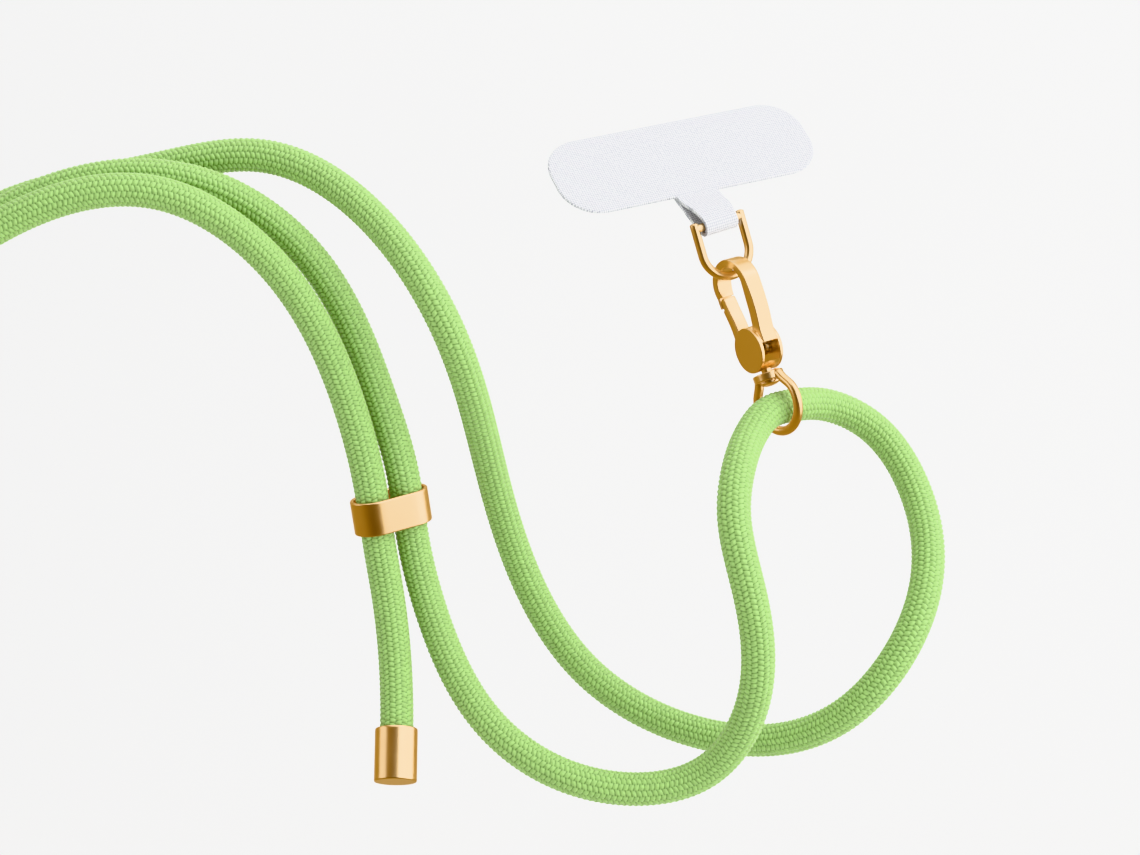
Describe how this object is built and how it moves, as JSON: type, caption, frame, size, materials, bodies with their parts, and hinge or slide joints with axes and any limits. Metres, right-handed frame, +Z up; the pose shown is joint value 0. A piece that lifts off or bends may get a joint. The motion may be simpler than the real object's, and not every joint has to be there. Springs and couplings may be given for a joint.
{
  "type": "phone crossbody strap",
  "caption": "Thick round braided phone strap, worn crossbody, with oval band sliders, capped ends and a ring; a swivel snap hook and a D-ring carry a thin cloth phone patch.",
  "frame": {"origin": "the top of the shoulder or peg that the three strands hang over", "axes": "+Z up, +X towards the hook and its patch, -Y towards the viewer"},
  "size_m": [0.277, 0.0607, 0.2231],
  "materials": {
    "rope_green": "matte braided polyester",
    "gold": "polished gold plating on zinc alloy",
    "spring_steel": "satin",
    "grey_cloth": "matte plain weave"
  },
  "bodies": {
    "strap": {"rope": "rope_green", "slider_front": "gold", "slider_back": "gold", "end_cap_front": "gold", "end_cap_back": "gold", "swivel_ring": "gold"},
    "hook": {"hook_body": "gold", "swivel_post": "gold", "gate_spring": "spring_steel", "d_ring": "gold", "phone_patch": "grey_cloth"},
    "gate": {"gate": "gold"}
  },
  "joints": [
    {"name": "hook_swivel", "type": "hinge", "parent": "strap", "child": "hook", "pos_m": [0.1477, 0, -0.0448], "axis": [-0.324, 0.088, 0.942], "continuous": true},
    {"name": "gate_hinge", "type": "hinge", "parent": "hook", "child": "gate", "pos_m": [0.14329, 0.0012, -0.03199], "axis": [0.8392, 0.4864, 0.2432], "range_deg": [0, 18], "stiffness_Nm_per_rad": 0.02, "springref_deg": -5.73}
  ]
}
